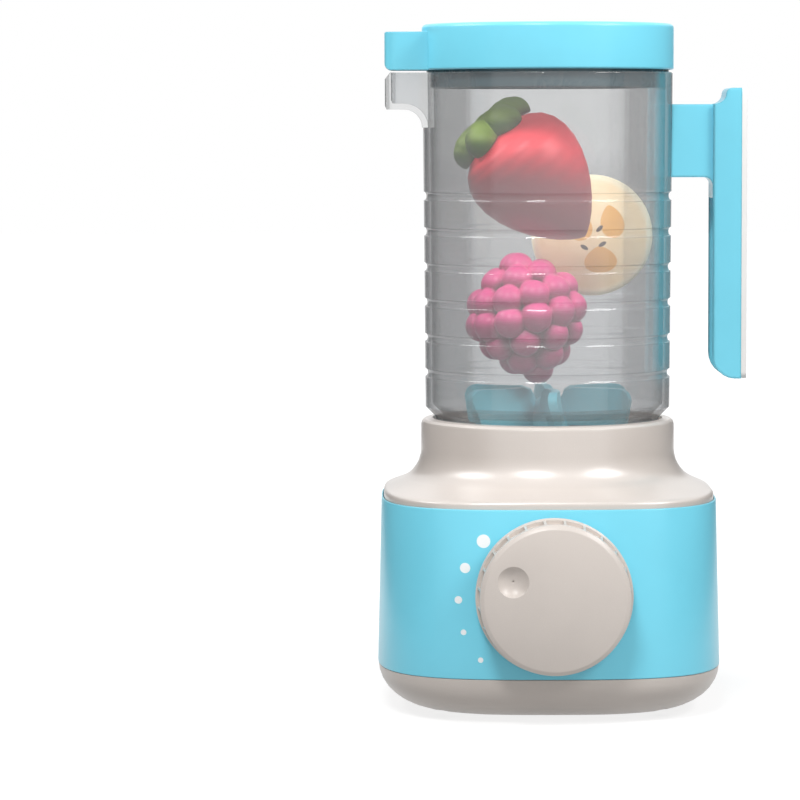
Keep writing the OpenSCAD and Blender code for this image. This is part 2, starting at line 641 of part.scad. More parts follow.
module board_screws() color([0.7, 0.7, 0.72])
    for (x = [-1, 1], z = [-1, 1])
        translate([x * board_post_at, board_face + board_t + 2 * press_gap, dial_z + z * board_post_at])
            rotate([90, 0, 0]) screw(2.2, 1.4, door_screw_r, 6);
module dial_clip() color([0.35, 0.35, 0.37]) along_front(-board_face - board_t - 1.2) difference() {
    cylinder(h = 0.8, r = dial_shaft_r + 2);
    translate([0, 0, -1]) cylinder(h = 3, r = dial_shaft_r + press_gap);
}

/* ---- jug ---- */
floor_z = seat_z + 2.7;
floor_top = floor_z + floor_t;
slant_z = seat_z + 9.9;
wall_z = slant_z + jug_slant;
wall_foot_r = jug_r - jug_taper;
rim_edge = 0.8;
function jug_out(z) = wall_foot_r + jug_taper * (z - wall_z) / (jug_top - wall_z);
function jug_in(z) = jug_out(z) - jug_wall;
groove_steps = 6;
function groove(zc) = [for (i = [0 : groove_steps])
    let (t = -90 + 180 * i / groove_steps, z = zc + groove_w / 2 * sin(t))
    [jug_out(z) - groove_depth * cos(t), z]];
module jug_solid() rotate_extrude($fn = 128) polygon(concat(
    [[0, seat_z], [foot_ring_r - 0.6, seat_z], [foot_ring_r, seat_z + 0.6], [foot_ring_r, slant_z], [wall_foot_r, wall_z]],
    [for (i = [grooves - 1 : -1 : 0]) each groove(jug_top - groove_top - i * groove_pitch)],
    [for (t = [0 : 30 : 90]) [jug_out(jug_top) - rim_edge * (1 - cos(t)), jug_top - rim_edge * (1 - sin(t))]],
    [[0, jug_top]]));
module jug_hollow() rotate_extrude($fn = 128) polygon([[0, floor_top], [foot_ring_r - jug_wall - 1, floor_top],
    [foot_ring_r - jug_wall, floor_top + 1], [foot_ring_r - jug_wall, slant_z + 1.1],
    [jug_in(wall_z + 1.1), wall_z + 1.1], [jug_in(jug_top), jug_top], [jug_in(jug_top), jug_top + 1], [0, jug_top + 1]]);

// The spout's outer form: a side view with a hollow curve under it, cut to a tapering plan
lip_x = jug_r + spout_out;
spout_z = jug_top - spout_h;
root_w = spout_w + 9;
module spout_form(inset) {
    bottom = spout_z + inset;
    curve_r = spout_r + inset;
    tip = lip_x - inset * (inset > 0 ? 1 : 0);
    root_x = jug_r - jug_taper - 8;
    rise = inset > 0 ? 1 : 0;
    intersection() {
        rotate([90, 0, 0]) translate([0, 0, -root_w]) linear_extrude(height = 2 * root_w) polygon(concat(
            [[-root_x, jug_top + rise], [-root_x, bottom - curve_r]],
            [[-jug_out(spout_z - curve_r) + 0.3 + inset, bottom - curve_r]],
            [for (t = [0 : 15 : 90]) [-jug_out(spout_z) - 0.3 + inset - curve_r * (1 - cos(t)), bottom - curve_r * (1 - sin(t))]],
            [[-tip + 0.6, bottom], [-tip, bottom + 1.4], [-tip, jug_top - 2.5 + rise * 3.5],
             [-tip + (1 - rise) * 2, jug_top + rise]]));
        linear_extrude(height = 2 * jug_top) polygon(concat(
            [[-root_x, -root_w / 2 + inset], [-root_x, root_w / 2 - inset]],
            [for (t = [0 : 15 : 90]) [-tip + 5 - 5 * sin(t), spout_w / 2 - inset - 5 + 5 * cos(t)]],
            [for (t = [90 : -15 : 0]) [-tip + 5 - 5 * sin(t), -spout_w / 2 + inset + 5 - 5 * cos(t)]]));
    }
}

// Lug inside the stem, moulded with the jug
stem_top = jug_top - stem_drop;
stem_mid = stem_top - stem_h / 2;
lug_w = 9;
lug_h = 18;
lug_l = 9.5;
screw_pitch = 10;
lug_gap = 0.15;
module lug(gap) translate([wall_foot_r - 1, -lug_w / 2 - gap, stem_mid - lug_h / 2 - gap])
    cube([lug_l + 1 + gap, lug_w + 2 * gap, lug_h + 2 * gap]);

module jug_body() color([0.75, 0.78, 0.80, 0.45]) difference() {
    union() {
        jug_solid();
        spout_form(0);
        lug(0);
    }
    jug_hollow();
    spout_form(2.3);
    // hollow under the floor for the couplings
    translate([0, 0, seat_z - 1]) cylinder(h = floor_z - seat_z + 1, r = foot_ring_r - jug_wall);
    translate([0, 0, seat_z - 1]) cylinder(h = 20, r = bush_r + press_gap);
    for (s = [-1, 1]) translate([wall_foot_r + 2.5, 0, stem_mid + s * screw_pitch / 2])
        rotate([0, 90, 0]) cylinder(h = lug_l, r = door_screw_r + press_gap);
}

paddle_shaft_top = floor_top + 9;
module paddle_bush() color([0.8, 0.66, 0.35])
    translate([0, 0, 2 * floor_top + 0.8 + press_gap]) mirror([0, 0, 1]) bush(floor_top, floor_t + 0.8 + press_gap);
module paddle_shaft() color([0.8, 0.8, 0.82])
    translate([0, 0, dog_z + 2 * dog_gap + dog_h - 1.6]) cylinder(h = paddle_shaft_top - dog_z - 2 * dog_gap - dog_h + 1.6, r = shaft_r);
module paddle_coupling() color([0.3, 0.3, 0.32])
    translate([0, 0, dog_z + dog_gap + dog_h + disc_t * 1.2]) mirror([0, 0, 1]) dogs(disc_t * 1.2, 45);

hub_z = floor_top + 1.1;
hub_r = 9;
vane_r = 34;
lean = 10;
module paddle_rotor() color([0.36, 0.70, 0.76]) difference() {
    union() {
        rotate_extrude() polygon([[0, hub_z], [hub_r, hub_z], [hub_r, hub_z + 1.6], [hub_r - 2.6, hub_z + 8],
            [2.4, hub_z + 11.6], [0, hub_z + 11.6]]);
        for (i = [0 : paddles - 1]) rotate(-80 + i * 360 / paddles) paddle();
    }
    translate([0, 0, hub_z - 1]) cylinder(h = paddle_shaft_top - hub_z + 1 + press_gap, r = shaft_r + press_gap);
}
// A curved, leaning plate with rounded upper corners
function vane_point(r, a) = [paddle_r * 0.5 + r * sin(a), -vane_r + r * cos(a)];
module paddle() intersection() {
    corner = 4.5;
    rotate([90, 0, 0]) translate([0, 0, -20]) linear_extrude(height = 40) polygon(concat(
        [[hub_r - 5.2, hub_z + 0.3], [paddle_r - 3.6, hub_z + 0.3], [paddle_r - 2.3, hub_z + 1.6]],
        [for (t = [0 : 22.5 : 90]) [paddle_r - corner * (1 - cos(t)), hub_z + paddle_h - corner * (1 - sin(t))]],
        [[hub_r + 2.4, hub_z + paddle_h], [hub_r - 1, hub_z + paddle_h - 1.4], [hub_r - 5.2, hub_z + 6]]));
    translate([0, 0, hub_z + paddle_h / 2]) rotate([lean, 0, 0]) translate([0, 0, -20]) linear_extrude(height = 40)
        polygon(concat([for (a = [-28 : 7 : 35]) vane_point(vane_r + paddle_t / 2, a)],
            [for (a = [35 : -7 : -28]) vane_point(vane_r - paddle_t / 2, a)]));
}

/* ---- handle ---- */
grip_x = jug_r + finger_gap;
grip_back = grip_x + grip_t;
grip_top = stem_top + 6.2;
grip_end = grip_top - grip_l;
stem_w = 17;
// Side view of the stem and grip
module handle_side() polygon(concat(
    [[wall_foot_r - 2, stem_top - stem_h]],
    [for (t = [0 : 22.5 : 90]) [grip_x - 3 + 3 * sin(t), stem_top - stem_h - 3 * (1 - cos(t))]],
    [for (t = [0 : 15 : 90]) [grip_x + 8.5 * (1 - cos(t)), grip_end + 9.2 - 9.2 * sin(t)]],
    [[grip_back, grip_end]],
    [[grip_back, grip_top]],
    [for (t = [90 : 15 : 180]) [grip_back - 3.6 + 2.4 * cos(t), grip_top - 2.4 * (1 - sin(t))]],
    [for (t = [15 : 15 : 90]) [grip_back - 11 + 5 * cos(t), stem_top + 3.8 * (1 - sin(t))]],
    [[wall_foot_r - 2, stem_top]]));
module handle_grip() color([0.50, 0.85, 0.93]) difference() {
    intersection() {
        rotate([90, 0, 0]) translate([0, 0, -grip_w]) linear_extrude(height = 2 * grip_w) handle_side();
        union() {
            // grip: wide at the back, narrower towards the jug
            linear_extrude(height = 2 * jug_top) polygon(concat(
                [[grip_back + 1, -grip_w / 2], [grip_back + 1, grip_w / 2], [grip_back - 3.4, grip_w / 2]],
                [for (t = [90 : -15 : 0]) [grip_x + 7 - 7 * cos(90 - t) , grip_w / 2 - 1 - 5 + 5 * sin(t)]],
                [for (t = [0 : 15 : 90]) [grip_x + 7 - 7 * cos(90 - t), -grip_w / 2 + 1 + 5 - 5 * sin(t)]],
                [[grip_back - 3.4, -grip_w / 2]]));
            // stem
            translate([wall_foot_r - 3, -stem_w / 2, stem_top - stem_h - 8]) cube([grip_x - wall_foot_r + 10, stem_w, stem_h + 16]);
        }
    }
    jug_skin();
    lug(lug_gap);
    for (s = [-1, 1]) translate([wall_foot_r + 4, 0, stem_mid + s * screw_pitch / 2]) rotate([0, 90, 0]) {
        cylinder(h = 40, r = door_screw_r + 0.2);
        translate([0, 0, lug_l + 3.4]) cylinder(h = 40, r = 3);
    }
}
// What the handle's root is cut back to, so that it lies on the jug
module jug_skin() rotate_extrude($fn = 128) polygon([[0, wall_z], [jug_out(wall_z) + 0.05, wall_z],
    [jug_out(jug_top) + 0.05, jug_top], [0, jug_top]]);
module handle_screws() color([0.7, 0.7, 0.72])
    for (s = [-1, 1]) translate([wall_foot_r + 4 + lug_l + 3.4 + press_gap, 0, stem_mid + s * screw_pitch / 2])
        rotate([0, -90, 0]) screw(2.6, 1.6, door_screw_r, 12);
module handle_strip() color([0.83, 0.80, 0.77])
    translate([grip_back + press_gap, 0, 0]) rotate([90, 0, 90]) {
        round_r = 2.5;
        linear_extrude(height = strip_t) polygon([for (q = [[1, 1], [-1, 1], [-1, -1], [1, -1]]) each
            [for (t = [0 : 22.5 : 90]) let (a = q[0] * q[1] > 0 ? t : 90 - t)
                [q[0] * (grip_w / 2 - round_r + round_r * cos(a)),
                 (grip_top + grip_end) / 2 + q[1] * (grip_l / 2 - round_r + round_r * sin(a))]]]);
    }

/* ---- lid ---- */
lid_r = jug_r + lid_over;
plug_flange = 0.9;
lid_z = jug_top + plug_flange;
lid_top = lid_z + lid_h;
plug_r = jug_in(jug_top) - plug_gap;
tongue_w = spout_w + 5;
module tongue(inset) intersection() {
    rotate([90, 0, 0]) translate([0, 0, -tongue_w]) linear_extrude(height = 2 * tongue_w) polygon(concat(
        [[-jug_r + 10, lid_z - inset * 4], [-lip_x + 2.6, lid_z - inset * 4]],
        [for (t = [0 : 15 : 90]) [-lip_x - 0.1 + inset + 2.6 - 2.6 * sin(t), lid_z - inset * 4 + 2.6 - 2.6 * cos(t)]],
        [[-lip_x - 0.1 + inset, lid_z + tongue_h - 0.5 - inset], [-lip_x + 0.4 + inset, lid_z + tongue_h - inset],
         [-jug_r + 10, lid_z + tongue_h - inset]]));
    linear_extrude(height = 2 * lid_top) polygon(concat(
        [[-jug_r + 10, -tongue_w / 2 - 3 + inset], [-jug_r + 10, tongue_w / 2 + 3 - inset]],
        [for (t = [0 : 15 : 90]) [-lip_x - 0.1 + inset + 5 - 5 * sin(t), tongue_w / 2 - inset - 5 + 5 * cos(t)]],
        [for (t = [90 : -15 : 0]) [-lip_x - 0.1 + inset + 5 - 5 * sin(t), -tongue_w / 2 + inset + 5 - 5 * cos(t)]]));
}
module lid() color([0.50, 0.85, 0.93]) difference() {
    union() {
        rotate_extrude($fn = 128) polygon(concat(
            [[0, lid_z], [lid_r - 0.5, lid_z], [lid_r, lid_z + 0.5]],
            [for (t = [0 : 22.5 : 90]) [lid_r - 1.6 * (1 - cos(t)), lid_top - 1.6 * (1 - sin(t))]],
            [[0, lid_top]]));
        tongue(0);
    }
    translate([0, 0, lid_z - 1]) cylinder(h = lid_h - wall + 1, r = lid_r - wall, $fn = 128);
    tongue(wall);
}
module lid_plug() color([0.45, 0.78, 0.86]) rotate_extrude($fn = 128) polygon([
    [0, jug_top - 1], [plug_r - 2.2, jug_top - 1], [plug_r - 2.2, jug_top - plug_h], [plug_r - 0.5, jug_top - plug_h],
    [plug_r, jug_top - plug_h + 0.5], [plug_r, jug_top + 0.05], [jug_out(jug_top) - 1.5, jug_top + 0.05],
    [jug_out(jug_top) - 1.5, lid_z - press_gap], [lid_r - wall - press_gap, lid_z - press_gap],
    [lid_r - wall - press_gap, lid_z + 3], [lid_r - wall - 1.8, lid_z + 3], [lid_r - wall - 1.8, lid_z - press_gap],
    [0, lid_z - press_gap]]);

/* ---- play food ---- */
// Strawberry: crown up and to the left, tip down and to the right
berry_lean = 41.5;
berry_tip = [13.9, -12, 180];
berry_steps = 14;
function berry_profile(t) = berry_r * pow(t, 0.36) * pow(1 - t, 0.75) / 0.4969;
module berry_place() translate(berry_tip) rotate([0, -berry_lean, 0]) children();
module berry_form(grow) rotate_extrude() polygon(concat([[0, -grow]],
    [for (i = [0 : berry_steps]) let (t = 0.5 - 0.5 * cos(180 * i / berry_steps))
        [max(0.01, berry_profile(1 - t)) + grow, berry_l * t]], [[0, berry_l + grow]]));
module strawberry() color([0.86, 0.16, 0.22]) berry_place() berry_form(0);
// Skin over a grid of points: a pole, the rings from it to the other pole, and that pole
module wrapped(low, rings, high) {
    n = len(rings[0]);
    last = 1 + (len(rings) - 1) * n;
    polyhedron(concat([low], [for (v = rings) each v], [high]), concat(
        [for (i = [0 : n - 1]) [0, 1 + i, 1 + (i + 1) % n]],
        [for (j = [0 : len(rings) - 2], i = [0 : n - 1])
            let (a = 1 + j * n + i, b = 1 + j * n + (i + 1) % n) each [[a, a + n, b + n], [a, b + n, b]]],
        [for (i = [0 : n - 1]) [last + n, last + (i + 1) % n, last + i]]), convexity = 6);
}
// Direction at step i of n round the axis and step j of up from below to above
function ray(i, n, j, up) = let (u = 180 * j / up, a = i * 360 / n) [sin(u) * cos(a), sin(u) * sin(a), -cos(u)];
// Distance from the middle to a ball of radius r at c, along direction d
function ball_hit(d, c, r) = let (s = d * c, q = r * r - c * c + s * s) q > 0 && s > 0 ? s + sqrt(q) : 0;
// Distance to the furthest ball that the ray meets, or to the core
function skin(d, core, balls, r) = max(core, max([for (c = balls) ball_hit(d, c, r)]));

// Crown of plump lobes that rests on the top of the strawberry
lobe_turn = 30;
lobe_r = 6.6;
lobe_at = 12.5;
crown_z = berry_l + 2.5;
lobes = [for (i = [0 : 5]) [lobe_at * cos(lobe_turn + i * 60), lobe_at * sin(lobe_turn + i * 60), 0]];
crown_round = 48;
crown_up = 16;
function under(r) = berry_l + 0.4 - berry_l * pow(r / (2.012 * berry_r), 2.78);
function crown_point(d) = let (p = d * skin(d, 7, lobes, lobe_r))
    [p[0], p[1], max(p[2] + crown_z, under(norm([p[0], p[1]])))];
module strawberry_leaves() color([0.36, 0.55, 0.20]) berry_place() wrapped(crown_point([0, 0, -1]),
    [for (j = [1 : crown_up - 1]) [for (i = [0 : crown_round - 1]) crown_point(ray(i, crown_round, j, crown_up))]],
    crown_point([0, 0, 1]));

slice_at = [17.8, 13.5, 179.7];
module banana_slice() color([0.96, 0.89, 0.68]) translate(slice_at) rotate([90, 0, 0])
    rotate_extrude() polygon(concat([[0, -slice_t / 2], [slice_r - 2.5, -slice_t / 2]],
        [for (t = [-90 : 22.5 : 90]) [slice_r - 2.5 + 2.5 * cos(t), (slice_t / 2 - 2.5) * sign(t) + 2.5 * sin(t)]],
        [[0, slice_t / 2]]));

// Raspberry: round beads in rings on a berry that narrows towards its tip
rasp_at = [-8.3, -12, 149.2];
rasp_lean = -18;
rasp_rings = [[1, 0], [6, 31], [10, 60], [11, 89], [9, 118], [5, 146], [1, 180]];
rasp_beads = [for (k = [0 : len(rasp_rings) - 1]) let (count = rasp_rings[k][0], from_tip = rasp_rings[k][1],
    reach = rasp_r * (0.93 + 0.10 * sin(from_tip) - 0.04 * cos(from_tip)))
    each [for (i = [0 : count - 1]) let (a = i * 360 / count + k * 17)
        [reach * sin(from_tip) * cos(a), reach * sin(from_tip) * sin(a), -reach * cos(from_tip)]]];
rasp_round = 44;
rasp_up = 22;
function rasp_point(d) = d * skin(d, rasp_r * 0.93, rasp_beads, bead_r);
module raspberry() color([0.72, 0.10, 0.38]) translate(rasp_at) rotate([0, rasp_lean, 0]) wrapped(rasp_point([0, 0, -1]),
    [for (j = [1 : rasp_up - 1]) [for (i = [0 : rasp_round - 1]) rasp_point(ray(i, rasp_round, j, rasp_up))]],
    rasp_point([0, 0, 1]));

// Middle of the whole, seen from above, measured from the jug's axis
middle_x = (grip_back + press_gap + strip_t - shell_half) / 2;
middle_y = (shell_half - dial_back - dial_d) / 2;
module placed() translate([-middle_x, -middle_y, 0]) children();

placed() base_tray();
placed() rubber_feet();
placed() battery_door();
placed() door_screw();
placed() case_screws();
placed() cells_aa();
placed() cell_springs();
placed() cell_plates();
placed() housing_shell();
placed() collar();
placed() gearbox_plate();
placed() plate_screws();
placed() motor();
placed() motor_screws();
placed() motor_shaft();
placed() motor_pinion();
placed() idler_pin();
placed() idler_gear();
placed() drive_shaft();
placed() drive_gear();
placed() lower_bush();
placed() upper_bush();
placed() drive_coupling();
placed() switch_board();
placed() board_screws();
placed() dial_shaft();
placed() switch_wiper();
placed() dial_clip();
placed() dial();
placed() jug_body();
placed() paddle_bush();
placed() paddle_shaft();
placed() paddle_coupling();
placed() paddle_rotor();
placed() handle_grip();
placed() handle_screws();
placed() handle_strip();
placed() lid();
placed() lid_plug();
placed() strawberry();
placed() strawberry_leaves();
placed() banana_slice();
placed() raspberry();
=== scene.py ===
import json
import math

import bpy
import numpy as np
from mathutils import Matrix, Vector


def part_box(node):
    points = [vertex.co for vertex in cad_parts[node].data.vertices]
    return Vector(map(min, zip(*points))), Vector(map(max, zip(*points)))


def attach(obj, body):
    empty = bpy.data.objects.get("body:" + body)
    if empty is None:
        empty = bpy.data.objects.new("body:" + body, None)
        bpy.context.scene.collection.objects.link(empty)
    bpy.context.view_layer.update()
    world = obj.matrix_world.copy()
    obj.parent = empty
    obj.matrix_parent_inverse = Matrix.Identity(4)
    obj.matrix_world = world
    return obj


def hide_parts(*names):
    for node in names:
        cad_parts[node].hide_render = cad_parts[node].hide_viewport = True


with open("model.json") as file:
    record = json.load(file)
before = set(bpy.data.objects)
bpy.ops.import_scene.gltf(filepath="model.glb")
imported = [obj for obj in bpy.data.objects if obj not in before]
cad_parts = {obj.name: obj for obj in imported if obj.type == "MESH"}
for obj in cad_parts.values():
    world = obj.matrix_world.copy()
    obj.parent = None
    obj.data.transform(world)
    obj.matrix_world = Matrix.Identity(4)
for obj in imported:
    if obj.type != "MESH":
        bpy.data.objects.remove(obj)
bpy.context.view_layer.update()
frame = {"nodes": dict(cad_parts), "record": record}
mm = 0.001
lo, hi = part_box("paddle_shaft")
ax, ay = (lo[0] + hi[0]) / 2, (lo[1] + hi[1]) / 2  # the jug's axis, which the places below start from
print("jug axis", round(ax, 5), round(ay, 5))


# Nodes of one material or of the world, with short ways to add them
class Tree:
    def __init__(self, name, world=False):
        self.owner = bpy.data.worlds.new(name) if world else bpy.data.materials.new(name)
        self.owner.use_nodes = True
        self.tree = self.owner.node_tree
        self.tree.nodes.clear()
        self.out = self.add("ShaderNodeOutputWorld" if world else "ShaderNodeOutputMaterial")
        if not world:
            self.place = self.add("ShaderNodeTexCoord").outputs["Object"]

    def add(self, kind, **settings):
        n = self.tree.nodes.new(kind)
        for k, v in settings.items():
            setattr(n, k, v)
        return n

    def put(self, socket, value):
        if isinstance(value, bpy.types.NodeSocket):
            self.tree.links.new(value, socket)
        elif isinstance(value, (tuple, list)) and len(value) == 3 and socket.type == "RGBA":
            socket.default_value = (*value, 1)
        else:
            socket.default_value = value

    def math(self, op, a, b=0.0):
        n = self.add("ShaderNodeMath", operation=op)
        self.put(n.inputs[0], a)
        self.put(n.inputs[1], b)
        return n.outputs[0]

    def most(self, first, *others):
        for other in others:
            first = self.math("MAXIMUM", first, other)
        return first

    def length(self, a, b):
        return self.math("SQRT", self.math("ADD", self.math("MULTIPLY", a, a), self.math("MULTIPLY", b, b)))

    # From a to b with soft ends while the value goes from lo to hi
    def ramp(self, value, lo, hi, a=0.0, b=1.0):
        n = self.add("ShaderNodeMapRange", clamp=True, interpolation_type="SMOOTHSTEP")
        self.put(n.inputs[0], value)
        for i, v in enumerate((lo, hi, a, b)):
            self.put(n.inputs[i + 1], v)
        return n.outputs[0]

    def noise(self, scale, detail=3.0, rough=0.5, stretch=None, seed=0.0):
        vec = self.place
        if stretch or seed:
            m = self.add("ShaderNodeMapping")
            self.put(m.inputs["Vector"], vec)
            m.inputs["Scale"].default_value = stretch or (1, 1, 1)
            m.inputs["Location"].default_value = (seed, seed * 0.7, -seed)
            vec = m.outputs[0]
        n = self.add("ShaderNodeTexNoise")
        self.put(n.inputs["Vector"], vec)
        n.inputs["Scale"].default_value = scale
        n.inputs["Detail"].default_value = detail
        n.inputs["Roughness"].default_value = rough
        return n.outputs["Fac"]

    def mix(self, fac, a, b):
        n = self.add("ShaderNodeMix", data_type="RGBA")
        self.put(n.inputs["Factor"], fac)
        self.put(n.inputs["A"], a)
        self.put(n.inputs["B"], b)
        return n.outputs["Result"]

    def blend(self, fac, a, b):
        n = self.add("ShaderNodeMixShader")
        for socket, value in zip(n.inputs, (fac, a, b)):
            self.put(socket, value)
        return n.outputs[0]

    def bump(self, height, distance, below=None):
        n = self.add("ShaderNodeBump")
        n.inputs["Distance"].default_value = distance
        n.inputs["Strength"].default_value = 1.0
        self.put(n.inputs["Height"], height)
        if below is not None:
            self.put(n.inputs["Normal"], below)
        return n.outputs[0]

    def rounded(self, radius):
        n = self.add("ShaderNodeBevel", samples=4)
        n.inputs["Radius"].default_value = radius
        return n.outputs[0]

    def axes(self):
        n = self.add("ShaderNodeSeparateXYZ")
        self.put(n.inputs[0], self.place)
        return n.outputs[0], n.outputs[1], n.outputs[2]

    def shader(self, kind, **values):
        n = self.add("ShaderNode" + kind)
        for k, v in values.items():
            self.put(n.inputs[k.replace("_", " ")], v)
        return n.outputs[0]

    def show(self, result):
        self.put(self.out.inputs[0], result)


# What all moulded plastic shares: scales of its noise, grain height and softness in metres
moulding = {
    "cloudScale": 22, "cloudDark": 0.955, "grainScale": 900, "grainSeed": 3.1, "grainHeight": 0.0000012,
    "flakeScale": 5200, "flakeSeed": 7.7, "flakeColor": (0.98, 0.97, 0.95),
    "markScale": 60, "markStretch": (1, 1, 0.22), "markSeed": 1.7,
    "ior": 1.49, "coatRoughness": 0.30, "coatIor": 1.8, "softRadius": (0.004, 0.004, 0.004)}


def mouldedNoise(t):
    cloud = t.noise(moulding["cloudScale"], 4, 0.55)
    fine = t.noise(moulding["grainScale"], 2, 0.5, seed=moulding["grainSeed"])
    marks = t.noise(moulding["markScale"], 5, 0.62, moulding["markStretch"], moulding["markSeed"])
    grain = t.math("ADD", t.math("MULTIPLY", fine, 0.5), t.math("MULTIPLY", cloud, 0.6))
    return cloud, fine, marks, grain


# Moulded plastic: cloudy tone, fine grain, faint handling marks, edges softened by the given radius
def plastic(name, color, rough=0.34, edge=0.0004, grain=moulding["grainHeight"],
            soft=0.0, pearl=0.0, coat=0.0):
    t = Tree(name)
    cloud, fine, marks, relief = mouldedNoise(t)
    darker = tuple(c * moulding["cloudDark"] for c in color)
    tone = t.mix(t.ramp(cloud, 0.35, 0.65), darker, color)
    if pearl:
        flake = t.noise(moulding["flakeScale"], 1, 0.4, seed=moulding["flakeSeed"])
        tone = t.mix(t.ramp(flake, 0.62, 0.74, 0, pearl), tone, moulding["flakeColor"])
    worn = t.ramp(marks, 0.4, 0.72, rough - 0.012, rough + 0.02)
    t.show(t.shader(
        "BsdfPrincipled", Base_Color=tone, IOR=moulding["ior"],
        Roughness=t.math("ADD", worn, t.ramp(fine, 0.3, 0.7, -0.01, 0.01)),
        Normal=t.bump(relief, grain, t.rounded(edge)),
        Coat_Weight=coat, Coat_Roughness=moulding["coatRoughness"], Coat_IOR=moulding["coatIor"],
        Subsurface_Weight=soft, Subsurface_Radius=moulding["softRadius"], Subsurface_Scale=1.0))
    return t.owner


# Metal: fine lines that run round the up axis, and faint stains
bright = {"lineScale": 260, "lineStretch": (1, 1, 40), "lineHeight": 0.000006,
          "stainScale": 40, "stainDark": 0.82, "edge": 0.0002}


def metal(name, color, rough=0.3, seed=0.0):
    t = Tree(name)
    lines = t.noise(bright["lineScale"], 3, 0.6, bright["lineStretch"], seed)
    stain = t.noise(bright["stainScale"], 4, 0.55, seed=seed + 2)
    tone = t.mix(t.ramp(stain, 0.35, 0.7), tuple(c * bright["stainDark"] for c in color), color)
    brushed = t.ramp(lines, 0.3, 0.7, rough - 0.06, rough + 0.08)
    t.show(t.shader(
        "BsdfPrincipled", Base_Color=tone, Metallic=1.0,
        Roughness=t.math("ADD", brushed, t.ramp(stain, 0.5, 0.8, 0, 0.06)),
        Normal=t.bump(lines, bright["lineHeight"], t.rounded(bright["edge"]))))
    return t.owner


blue = (0.205, 0.72, 0.90)
beige = (0.66, 0.595, 0.545)
looks = {
    "blue": plastic("bluePlastic", blue, rough=0.30, edge=0.0006, soft=0.03),
    "grip": plastic("gripPlastic", blue, rough=0.30, edge=0.0014, soft=0.03),
    # The plug's dark teal is painted shade: the blue plug is darkened for the shade and dark reflection it
    # sits in under the lid
    "plug": plastic("plugPaintedShade", (0.045, 0.10, 0.12), rough=0.28, edge=0.0003),
    "beige": plastic("beigePearl", beige, edge=0.0006, pearl=0.16),
    "collar": plastic("collarPearl", beige, edge=0.0006, pearl=0.16, coat=0.9),
    "dial": plastic("dialPearl", beige, edge=0.00015, pearl=0.16),
    # The strip's paler pearl is painted light: a lighter copy of the beige for its front-facing side
    "strip": plastic("stripPaintedLitPearl", (0.92, 0.90, 0.88), rough=0.36, edge=0.0003, pearl=0.16),
    "turquoise": plastic("turquoisePlastic", (0.12, 0.50, 0.60), rough=0.30, edge=0.0003),
    "rubber": plastic("footRubber", (0.035, 0.035, 0.037), rough=0.72, edge=0.0003, grain=0.00002),
    "cell": plastic("cellSleeve", (0.02, 0.12, 0.09), rough=0.25, edge=0.0002),
    "board": plastic("boardLacquer", (0.02, 0.13, 0.055), rough=0.3, edge=0.0001),
    "grey_plastic": plastic("greyMoulding", (0.26, 0.27, 0.29), rough=0.5),
    "white_plastic": plastic("gearResin", (0.80, 0.79, 0.72), rough=0.36, edge=0.0001, soft=0.05),
    "dark_plastic": plastic("darkMoulding", (0.06, 0.06, 0.066), rough=0.45),
    "brass": metal("bushBrass", (0.78, 0.60, 0.28), 0.26),
    "can": metal("motorCan", (0.62, 0.63, 0.65), 0.3, seed=4.0),
    "steel": metal("brightSteel", (0.66, 0.66, 0.68), 0.24, seed=9.0)}
print("plastics and metals")


# Blue housing with five dots painted beside the dial.
# A dot is its middle across from the axis, its height and its radius, in metres.
housing = {
    "dots": ((-0.0261, 0.0689, 0.0025), (-0.0329, 0.05885, 0.0019), (-0.0354, 0.0469, 0.0014),
             (-0.0335, 0.0349, 0.00105), (-0.0272, 0.0247, 0.0010)),
    "dotEdge": 0.00008, "dotRaised": 0.00003, "dotRoughness": 0.12, "paint": (0.93, 0.96, 0.96),
    "cloudDark": 0.96, "roughness": (0.29, 0.32), "edge": 0.0006, "soft": 0.03}


def markedHousing():
    t = Tree("blueShell")
    x, y, z = t.axes()
    dots = []
    for across, height, radius in housing["dots"]:
        gone = t.length(t.math("SUBTRACT", x, across + ax), t.math("SUBTRACT", z, height))
        dots.append(t.ramp(gone, radius - housing["dotEdge"], radius + housing["dotEdge"], 1, 0))
    painted = t.math("MULTIPLY", t.most(*dots), t.math("LESS_THAN", y, 0.0))  # on the front alone
    cloud, _, marks, relief = mouldedNoise(t)
    darker = tuple(c * housing["cloudDark"] for c in blue)
    tone = t.mix(painted, t.mix(t.ramp(cloud, 0.35, 0.65), darker, blue), housing["paint"])
    moulded = t.bump(relief, moulding["grainHeight"], t.rounded(housing["edge"]))
    t.show(t.shader(
        "BsdfPrincipled", Base_Color=tone, IOR=moulding["ior"],
        Roughness=t.math("ADD", t.ramp(marks, 0.4, 0.72, *housing["roughness"]),
                         t.math("MULTIPLY", painted, housing["dotRoughness"])),
        Normal=t.bump(painted, housing["dotRaised"], moulded),
        Subsurface_Weight=housing["soft"], Subsurface_Radius=moulding["softRadius"], Subsurface_Scale=1.0))
    return t.owner
